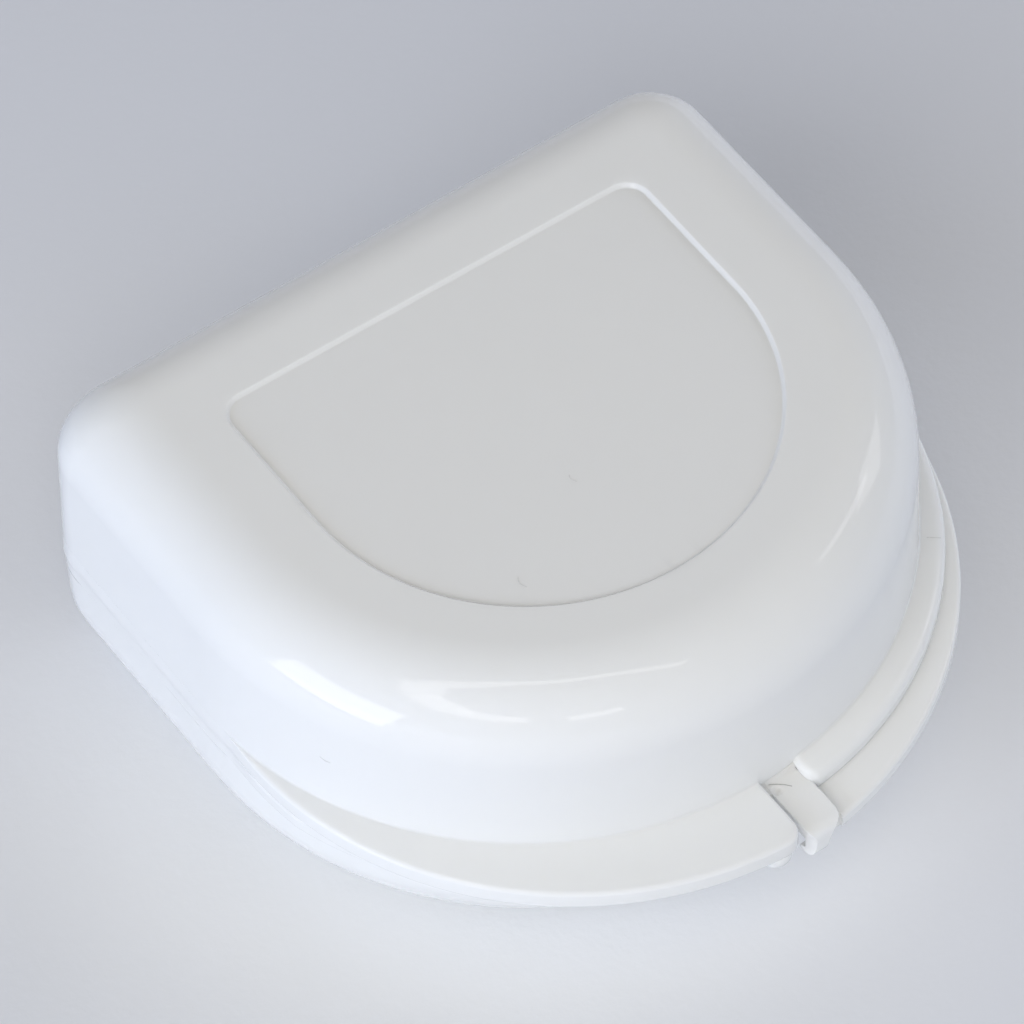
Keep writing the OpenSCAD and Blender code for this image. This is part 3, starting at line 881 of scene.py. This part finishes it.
def arch_tree():
    """Sweeps a section along the arch, lowers its outer wall to the rear and at the
    frenum in front, and draws the section in at both ends."""
    tree, given, result = tree_with("swept_arch", arch_sizes + [
        ("Section", "Object"), ("Half Width", "Float"), ("Inner Height", "Float"),
        ("Front Height", "Float"), ("Rear Height", "Float"), ("Notch Depth", "Float"),
        ("Notch Half", "Float"), ("End Shrink", "Float"), ("End Length", "Float"),
        ("Material", "Material")])
    size = {s.name: Reading(tree, s) for s in given.outputs if s.type == "VALUE"}
    path, from_end = arch_path(tree, given)
    away = (from_end / size["End Length"]).at_most(1.0).taken_from(1.0)
    full = (away * away).taken_from(1.0).work("SQRT")
    scale = node(tree, "ShaderNodeMapRange", i0=full.socket, i1=0.0, i2=1.0,
                 i3=given.outputs["End Shrink"], i4=1.0)
    section = node(tree, "GeometryNodeObjectInfo", Object=given.outputs["Section"])
    swept = node(tree, "GeometryNodeCurveToMesh", Curve=path, Scale=scale.outputs[0],
                 Fill_Caps=True, Profile_Curve=section.outputs["Geometry"])
    here = node(tree, "ShaderNodeSeparateXYZ",
                Vector=node(tree, "GeometryNodeInputPosition").outputs[0])
    x, y, z = (Reading(tree, here.outputs[axis]) for axis in "XYZ")
    above = (z - size["Bottom"] - size["Inner Height"]).at_least(0.0)
    front = (size["Middle Radius"] + size["Half Width"]).taken_from(0.0)
    wanted = node(tree, "ShaderNodeMapRange", i0=y.socket, i1=front.socket,
                  i2=given.outputs["Leg End"], i3=given.outputs["Front Height"],
                  i4=given.outputs["Rear Height"])
    off = x / size["Notch Half"]
    bell = (off * off * -1.0).work("EXPONENT")
    dip = bell * y.work("LESS_THAN", 0.0) * size["Notch Depth"]
    spare = Reading(tree, wanted.outputs[0]) - dip - size["Inner Height"]
    whole = size["Front Height"] - size["Inner Height"]
    less = above * (spare / whole).taken_from(1.0)
    down = node(tree, "ShaderNodeCombineXYZ", X=0.0, Y=0.0, Z=(less * -1.0).socket)
    lowered = node(tree, "GeometryNodeSetPosition", Geometry=swept.outputs[0],
                   Offset=down.outputs[0])
    return put_out(tree, given, result, lowered.outputs[0])


arch_values = {"Middle Radius": arch_middle * MM, "Leg End": leg_end * MM,
               "Bottom": guard_bottom * MM}


def arch_piece(name, corners, material):
    """A piece of the guard: its section, swept along the arch."""
    return piece_from(swept_arch, name, points_mesh(name, [(0, 0, 0)]), {
        **arch_values, "Section": section_curve(name + "_section", corners),
        "Half Width": half_width * MM, "Inner Height": inner_height * MM,
        "Front Height": front_height * MM, "Rear Height": rear_height * MM,
        "Notch Depth": notch_depth * MM, "Notch Half": notch_half * MM,
        "End Shrink": end_shrink, "End Length": end_length * MM}, "guard", material)


rubber_skin = {"mottle": 120.0, "peel": 1400.0, "strength": 0.25, "depth": 3e-5}
unworn = {"share": 0.0, "spacing": 500.0, "dulling": 0.0, "depth": 0.0}
rubber_blue = moulded_plastic(
    "blue_rubber", pale=(0.035, 0.13, 0.46), deep=(0.03, 0.11, 0.4), gloss=(0.3, 0.4),
    skin=rubber_skin, wear=unworn,
    IOR=1.48, Subsurface_Weight=0.25, Subsurface_Scale=0.002, Subsurface_Radius=(0.3, 0.6, 1.0))
rubber_pale = moulded_plastic(
    "pale_rubber", pale=(0.62, 0.76, 0.86), deep=(0.55, 0.7, 0.82), gloss=(0.3, 0.42),
    skin=rubber_skin, wear=unworn,
    IOR=1.48, Subsurface_Weight=0.5, Subsurface_Scale=0.003, Subsurface_Radius=(0.7, 0.9, 1.0))

# The outer face has two shallow grooves, which help the wall to bend.
swept_arch = arch_tree()
groove_heights, groove_depth, groove_edge, groove_floor = (6.0, 9.6), 0.4, 0.9, 0.35
grooves = [(half_width - depth, z + step, 0.2) for z in groove_heights
           for step, depth in ((-groove_edge, 0), (-groove_floor, groove_depth),
                               (groove_floor, groove_depth), (groove_edge, 0))]
shell_section = [(-half_width, 0, 1.6), (half_width, 0, 1.6), *grooves,
                 (half_width, front_height, 1.0), (4.8, front_height, 1.0), (4.8, 2.0, 1.2),
                 (-5.4, 2.0, 1.2), (-5.4, inner_height, 0.75), (-half_width, inner_height, 0.75)]
liner_section = [(-5.5, 1.9, 1.2), (4.9, 1.9, 1.2), (4.9, 18.3, 0.3), (3.8, 18.3, 0.45),
                 (3.8, 3.0, 1.1), (-4.4, 3.0, 1.1), (-4.4, 10.5, 0.45), (-5.5, 10.5, 0.3)]
arch_shell = arch_piece("arch_shell", shell_section, rubber_blue)
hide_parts("guard_shell")
arch_liner = arch_piece("arch_liner", liner_section, rubber_pale)
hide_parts("guard_liner")


ridge_count, bare_share = 24, 0.035
ridge_middle, ridge_half, ridge_high, ridge_wide = -0.3, 2.9, 0.5, 1.0
channel_floor, ridge_bluntness = 3.0, 0.6


def ridge_bar():
    """One low rounded bar: x across the channel, height downwards, z along the arch. It
    is a sphere's grid, drawn out and made blunt at both ends. The grid is written out,
    because a ready-made sphere has its faces in another order each run."""
    rings, sides = 10, 20
    ball = [(0, 0, 1)] + [
        (math.sin(a) * math.sin(t), math.cos(a) * math.sin(t), math.cos(t))
        for t in np.linspace(0, math.pi, rings + 1)[1:-1]
        for a in np.linspace(0, 2 * math.pi, sides, endpoint=False)] + [(0, 0, -1)]
    last = len(ball) - 1
    faces = []
    for i, j in [(i, (i + 1) % sides) for i in range(sides)]:
        faces.append((0, 1 + j, 1 + i))
        faces += [(k + j, k + sides + j, k + sides + i, k + i)
                  for k in range(1, last - sides, sides)]
        faces.append((last, last - sides + i, last - sides + j))
    return points_mesh("ridge_bar", [
        (ridge_middle + ridge_half * math.copysign(abs(x) ** ridge_bluntness, x),
         y * ridge_high - channel_floor, z * ridge_wide / 2) for x, y, z in ball], faces)


def ridge_tree():
    """Repeats the bar across the bite channel, evenly along the arch between bare ends."""
    tree, given, result = tree_with("bite_ridges", arch_sizes + [
        ("Ridge", "Object"), ("Count", "Int"), ("Bare Share", "Float"), ("Material", "Material")])
    path, _ = arch_path(tree, given)
    ridged = node(tree, "GeometryNodeTrimCurve", {"mode": "FACTOR"}, Curve=path,
                  i2=given.outputs["Bare Share"],
                  i3=maths(tree, "SUBTRACT", 1.0, given.outputs["Bare Share"]))
    spots = node(tree, "GeometryNodeCurveToPoints", Curve=ridged.outputs[0],
                 Count=given.outputs["Count"])
    bar = node(tree, "GeometryNodeObjectInfo", Object=given.outputs["Ridge"])
    placed = node(tree, "GeometryNodeInstanceOnPoints", Points=spots.outputs["Points"],
                  Instance=bar.outputs["Geometry"], Rotation=spots.outputs["Rotation"])
    return put_out(tree, given, result, placed.outputs[0])


# Low bars in the channel's floor keep the teeth from sliding before it is boiled.
piece_from(ridge_tree(), "bite_ridges", points_mesh("bite_ridges", [(0, 0, 0)]), {
    **arch_values, "Ridge": ridge_bar(), "Count": ridge_count, "Bare Share": bare_share},
    "guard", rubber_pale)

# ---------------------------------------------------------------- lint
# Fine fibres that lie on the closed case in the photograph, and the hairline crack in the lid
# beside the relief of the tongue, drawn as a dark grey strand: painted shade of the crack. All are
# 0.06 mm thick.
fibre_radius, fibre_sink = 0.03, 0.005


def seen_on(name, carrier):
    """The finished surface of a piece, and its place and normal at an image point: the
    ray through the point meets it, and a miss takes the place nearest the ray."""
    x, y = image_points[name]
    ray = camera.matrix_world.to_3x3() @ Vector((
        x - photo_side / 2 + camera_data.shift_x * photo_side,
        photo_side / 2 - y + camera_data.shift_y * photo_side,
        -photo_side * camera_data.lens / sensor_width)).normalized()
    eye = camera.matrix_world.translation
    surface = BVHTree.FromObject(carrier, bpy.context.evaluated_depsgraph_get())
    place, normal, _, _ = surface.ray_cast(eye, ray)
    if place is None:
        near = min((v.co for v in carrier.data.vertices),
                   key=lambda co: (co - eye).cross(ray).length)
        place, normal, _, _ = surface.find_nearest(near)
    return surface, place, normal


def fibre_tree():
    """Gives the carrier's line a round section of a set radius."""
    tree, given, result = tree_with("fibre", [("Radius", "Float"), ("Material", "Material")])
    line = node(tree, "GeometryNodeMeshToCurve", Mesh=given.outputs["Geometry"])
    section = node(tree, "GeometryNodeCurvePrimitiveCircle", Resolution=6,
                   Radius=given.outputs["Radius"])
    swept = node(tree, "GeometryNodeCurveToMesh", Curve=line.outputs[0], Fill_Caps=True,
                 Profile_Curve=section.outputs[0])
    return put_out(tree, given, result, swept.outputs[0])


def fibre(name, carrier, turn, length, bend, material):
    """A bent fibre on a piece, middle at its image point, turned from the level as seen."""
    surface, middle, normal = seen_on(name, carrier)
    along = across * math.cos(math.radians(turn)) + up * math.sin(math.radians(turn))
    along = (along - normal * along.dot(normal)).normalized()
    side = normal.cross(along)
    line = bpy.data.meshes.new(name)
    places = []
    for s in np.linspace(-1, 1, 9):
        co = middle + (along * length * s / 2 + side * bend * (s * s - 0.4)) * MM
        on, up_here, _, _ = surface.find_nearest(co)
        places.append(on + up_here * (fibre_radius - fibre_sink) * MM)
    line.from_pydata(places, [(i, i + 1) for i in range(len(places) - 1)], [])
    return piece_from(laid_fibre, name, line, {"Radius": fibre_radius * MM},
                      "lid", material)


def dull(name, grey):
    """A dull grey that varies a little along a fibre."""
    material, tree, surface = new_material(name, Roughness=0.7)
    place = node(tree, "ShaderNodeTexCoord").outputs["Object"]
    spots = node(tree, "ShaderNodeTexNoise", Vector=place, Scale=4000.0, Detail=1.0)
    shade = node(tree, "ShaderNodeMapRange", i0=spots.outputs["Fac"], i1=0.3, i2=0.7,
                 i3=grey * 0.9, i4=grey * 1.1)
    tree.links.new(shade.outputs[0], surface.inputs["Base Color"])
    return material


laid_fibre = fibre_tree()
# The crack's dark grey is painted shade: a dark strand where the crack holds shade.
pale_lint, crack_painted_shade = dull("pale_lint", 0.7), dull("crack_painted_shade", 0.3)
marks = [fibre("lint_panel", lid_dome, -54, 1.1, 0.2, pale_lint),
         fibre("lint_front", lid_dome, -60, 1.5, 0.3, pale_lint),
         fibre("lint_wall", lid_dome, -15, 1.2, 0.15, pale_lint),
         fibre("lint_flange", lid_dome, 3, 1.6, 0.05, pale_lint),
         fibre("crack", latch_tongue, -5, 2.4, -0.15, crack_painted_shade)]

# ---------------------------------------------------------------- table
# A plain pale sheet of paper with a faint grain carries the case. Round the case its colour
# is painted lighter: a pool of painted light that stands in for the light falling there.
sheet_half = 3.0
paper_far, paper_painted_light = (0.71, 0.73, 0.79, 1), (0.94, 0.94, 0.93, 1)
# Painted light: the paper is painted lighter in a bell round this spot, out to this spread.
painted_light_spot, painted_light_spread = (-0.012, -0.006, 0), 0.036
floor = linked("table", bpy.data.meshes.new("table"))
floor.data.from_pydata([(-sheet_half, -sheet_half, 0), (sheet_half, -sheet_half, 0),
                        (sheet_half, sheet_half, 0), (-sheet_half, sheet_half, 0)],
                       [], [(0, 1, 2, 3)])
paper, paper_tree, paper_surface = new_material("pale_paper", Roughness=0.6)
sheet = node(paper_tree, "ShaderNodeTexCoord").outputs["Object"]
grain = node(paper_tree, "ShaderNodeTexNoise", Vector=sheet, Scale=700.0, Detail=4.0)
relief = node(paper_tree, "ShaderNodeBump", Height=grain.outputs["Fac"], Strength=0.5,
              Distance=1e-4)
off_painted_light = node(paper_tree, "ShaderNodeVectorMath", {"operation": "DISTANCE"}, i0=sheet,
                i1=painted_light_spot).outputs["Value"]
off_painted_light = Reading(paper_tree, off_painted_light) / painted_light_spread
painted_light_falloff = (off_painted_light * off_painted_light * -0.5).work("EXPONENT")
# The paper's colour goes from its far tone to the painted lit tone near the spot: painted light.
painted_light_tone = node(paper_tree, "ShaderNodeMix", {"data_type": "RGBA"}, i0=painted_light_falloff.socket,
            i6=paper_far, i7=paper_painted_light)
paper_tree.links.new(painted_light_tone.outputs[2], paper_surface.inputs["Base Color"])
paper_tree.links.new(relief.outputs[0], paper_surface.inputs["Normal"])
floor.data.materials.append(paper)

# ---------------------------------------------------------------- light
# Plain soft studio light: a pale room, broad window light from the left and the
# front left, and weaker fills. Only the panes show as crisp reflections.


def facing(name, middle, width_way, height_way, size, power, colour):
    """A rectangular lamp at a place in metres. It shines along height way x width way."""
    data = bpy.data.lights.new(name, "AREA")
    data.shape, data.size, data.size_y = "RECTANGLE", *size
    data.energy, data.color = power, colour
    lamp = linked(name, data)
    x = Vector(width_way).normalized()
    z = x.cross(Vector(height_way)).normalized()
    lamp.matrix_world = Matrix.Translation(Vector(middle)) @ Matrix(
        (x, z.cross(x), z)).transposed().to_4x4()
    return lamp


lamp_distance, case_middle = 1.1, Vector((0, 0, 0.02))


def soft_light(name, azimuth, elevation, size, power, colour):
    """A broad lamp that faces the case. It gives no mirror image of its own."""
    a, e = math.radians(azimuth), math.radians(elevation)
    away = Vector((math.sin(a) * math.cos(e), -math.cos(a) * math.cos(e), math.sin(e)))
    side = Vector((0, 0, 1)).cross(away)
    lamp = facing(name, case_middle + away * lamp_distance, side, away.cross(side), size,
                  power, colour)
    lamp.visible_glossy = False


def pane(name, corners, radiance, colour):
    """A lit pane through three corners in millimetres: low left, low right and top left
    as the case sees it. It only shows in reflections."""
    a, b, c = (Vector(corner) * MM for corner in corners)
    area = (b - a).length * (c - a).length
    lamp = facing(name, (b + c) / 2, b - a, c - a, ((b - a).length, (c - a).length),
                  radiance * math.pi * area, colour)
    lamp.visible_diffuse = lamp.visible_camera = False


def lit_edge(name, start, stop, width, radiance, colour):
    """A strip of pane between two places in millimetres, turned to the case."""
    a, b = Vector(start), Vector(stop)
    half = ((a + b) / 2).cross(b - a).normalized() * width / 2
    pane(name, (a - half, b - half, a + half), radiance, colour)


pane("window_pane", ((-174.3, 18.0, 23.8), (-161.7, -65.4, 1.2), (-166.6, 1.9, 82.5)), 2.4,
     (0.98, 0.99, 1.0))
frame_places = [(97, -391, 509), (-7, -252, 596), (-171, -164, 602), (-356, -142, 525),
                (-445, -206, 427), (-450, -338, 325), (-383, -436, 291), (-338, -474, 287)]
frame_widths = [35, 45, 65, 100, 110, 85, 65]
frame_radiance, frame_white = 1.8, (1.0, 0.98, 0.98)
for i, (start, stop, width) in enumerate(zip(frame_places, frame_places[1:], frame_widths)):
    lit_edge("frame_edge_%d" % i, start, stop, width, frame_radiance, frame_white)
lit_edge("frame_edge_low", (-253, -531, 273), (-119, -568, 289), 60, frame_radiance, frame_white)
side_radiance, side_white = 1.3, (0.98, 0.98, 1.0)
lit_edge("side_pane", (592, -47, 235), (511, -121, 370), 150, side_radiance, side_white)
lit_edge("side_edge", (540, -90, 341), (414, -235, 434), 50, side_radiance, side_white)
soft_light("window_left", 270, 14, (1.1, 0.5), 5.54, (0.574, 0.718, 1.0))
soft_light("window_front", 306, 35, (1.1, 0.7), 6.72, (1.0, 0.99, 0.98))
soft_light("ceiling", 0, 65, (1.1, 0.7), 1.92, (1.0, 0.9, 0.67))
soft_light("fill_right", 60, 14, (1.1, 0.5), 3.7, (0.68, 0.79, 1.0))
soft_light("fill_rear", 120, 14, (1.1, 0.5), 4.3, (0.917, 0.922, 1.0))
room = bpy.data.worlds.new("pale_room")
room.use_nodes = True
background = room.node_tree.nodes["Background"]
background.inputs["Color"].default_value = (1, 1, 1, 1)
background.inputs["Strength"].default_value = 0.2
scene.world = room
scene.view_settings.view_transform = "Standard"

# ---------------------------------------------------------------- image check
# How far each image point lies from what the camera sees there, in pixels.


def in_photo(co):
    """Where a place shows in the photograph's frame."""
    away = camera.matrix_world.inverted() @ co
    scale = photo_side * camera_data.lens / sensor_width / -away.z
    return (photo_side * (0.5 - camera_data.shift_x) + away.x * scale,
            photo_side * (0.5 + camera_data.shift_y) - away.y * scale)


def showing(pieces):
    """The finished vertices of pieces that nothing hides, as the frame shows them."""
    eye, near_enough = camera.matrix_world.translation, 0.1 * MM
    seen = []
    for piece in pieces:
        for vertex in piece.evaluated_get(graph).data.vertices:
            ray = vertex.co - eye
            place, _, _, distance = whole.ray_cast(eye, ray)
            if place is None or distance > ray.length - near_enough:
                seen.append(in_photo(vertex.co))
    return np.array(seen)


graph = bpy.context.evaluated_depsgraph_get()
dressed_pieces = [o for o in scene.objects if o.type == "MESH" and o != floor
                  and o.name not in frame]
corners, loops = [], []
for piece in dressed_pieces:
    mesh = piece.evaluated_get(graph).data
    loops += [tuple(i + len(corners) for i in face.vertices) for face in mesh.polygons]
    corners += [v.co.copy() for v in mesh.vertices]
whole = BVHTree.FromPolygons(corners, loops)
outline_seen = showing(dressed_pieces)
panel_edge = np.array([in_photo(Vector(p) * MM) for p in stacked(lid_outline.d_shape(
    panel_radius, panel_forward, panel_rear, panel_corner), lid_top - panel_recess / 2)])
found = {"left": (outline_seen[:, 0].min(), None), "right": (outline_seen[:, 0].max(), None),
         "top": (None, outline_seen[:, 1].min()), "bottom": (None, outline_seen[:, 1].max()),
         "panel_left": panel_edge[panel_edge[:, 0].argmin()],
         "panel_rear": panel_edge[panel_edge[:, 1].argmin()],
         "panel_front": panel_edge[panel_edge[:, 1].argmax()]}
for piece in [latch_tongue, thumb_tab, *marks]:
    seen = showing([piece])
    if len(seen):
        found[piece.name] = (seen.min(0) + seen.max(0)) / 2
({name: [None if a is None or b is None else round(float(a - b), 1)
                  for a, b in zip(found.get(name, point), point)]
           for name, point in image_points.items()})
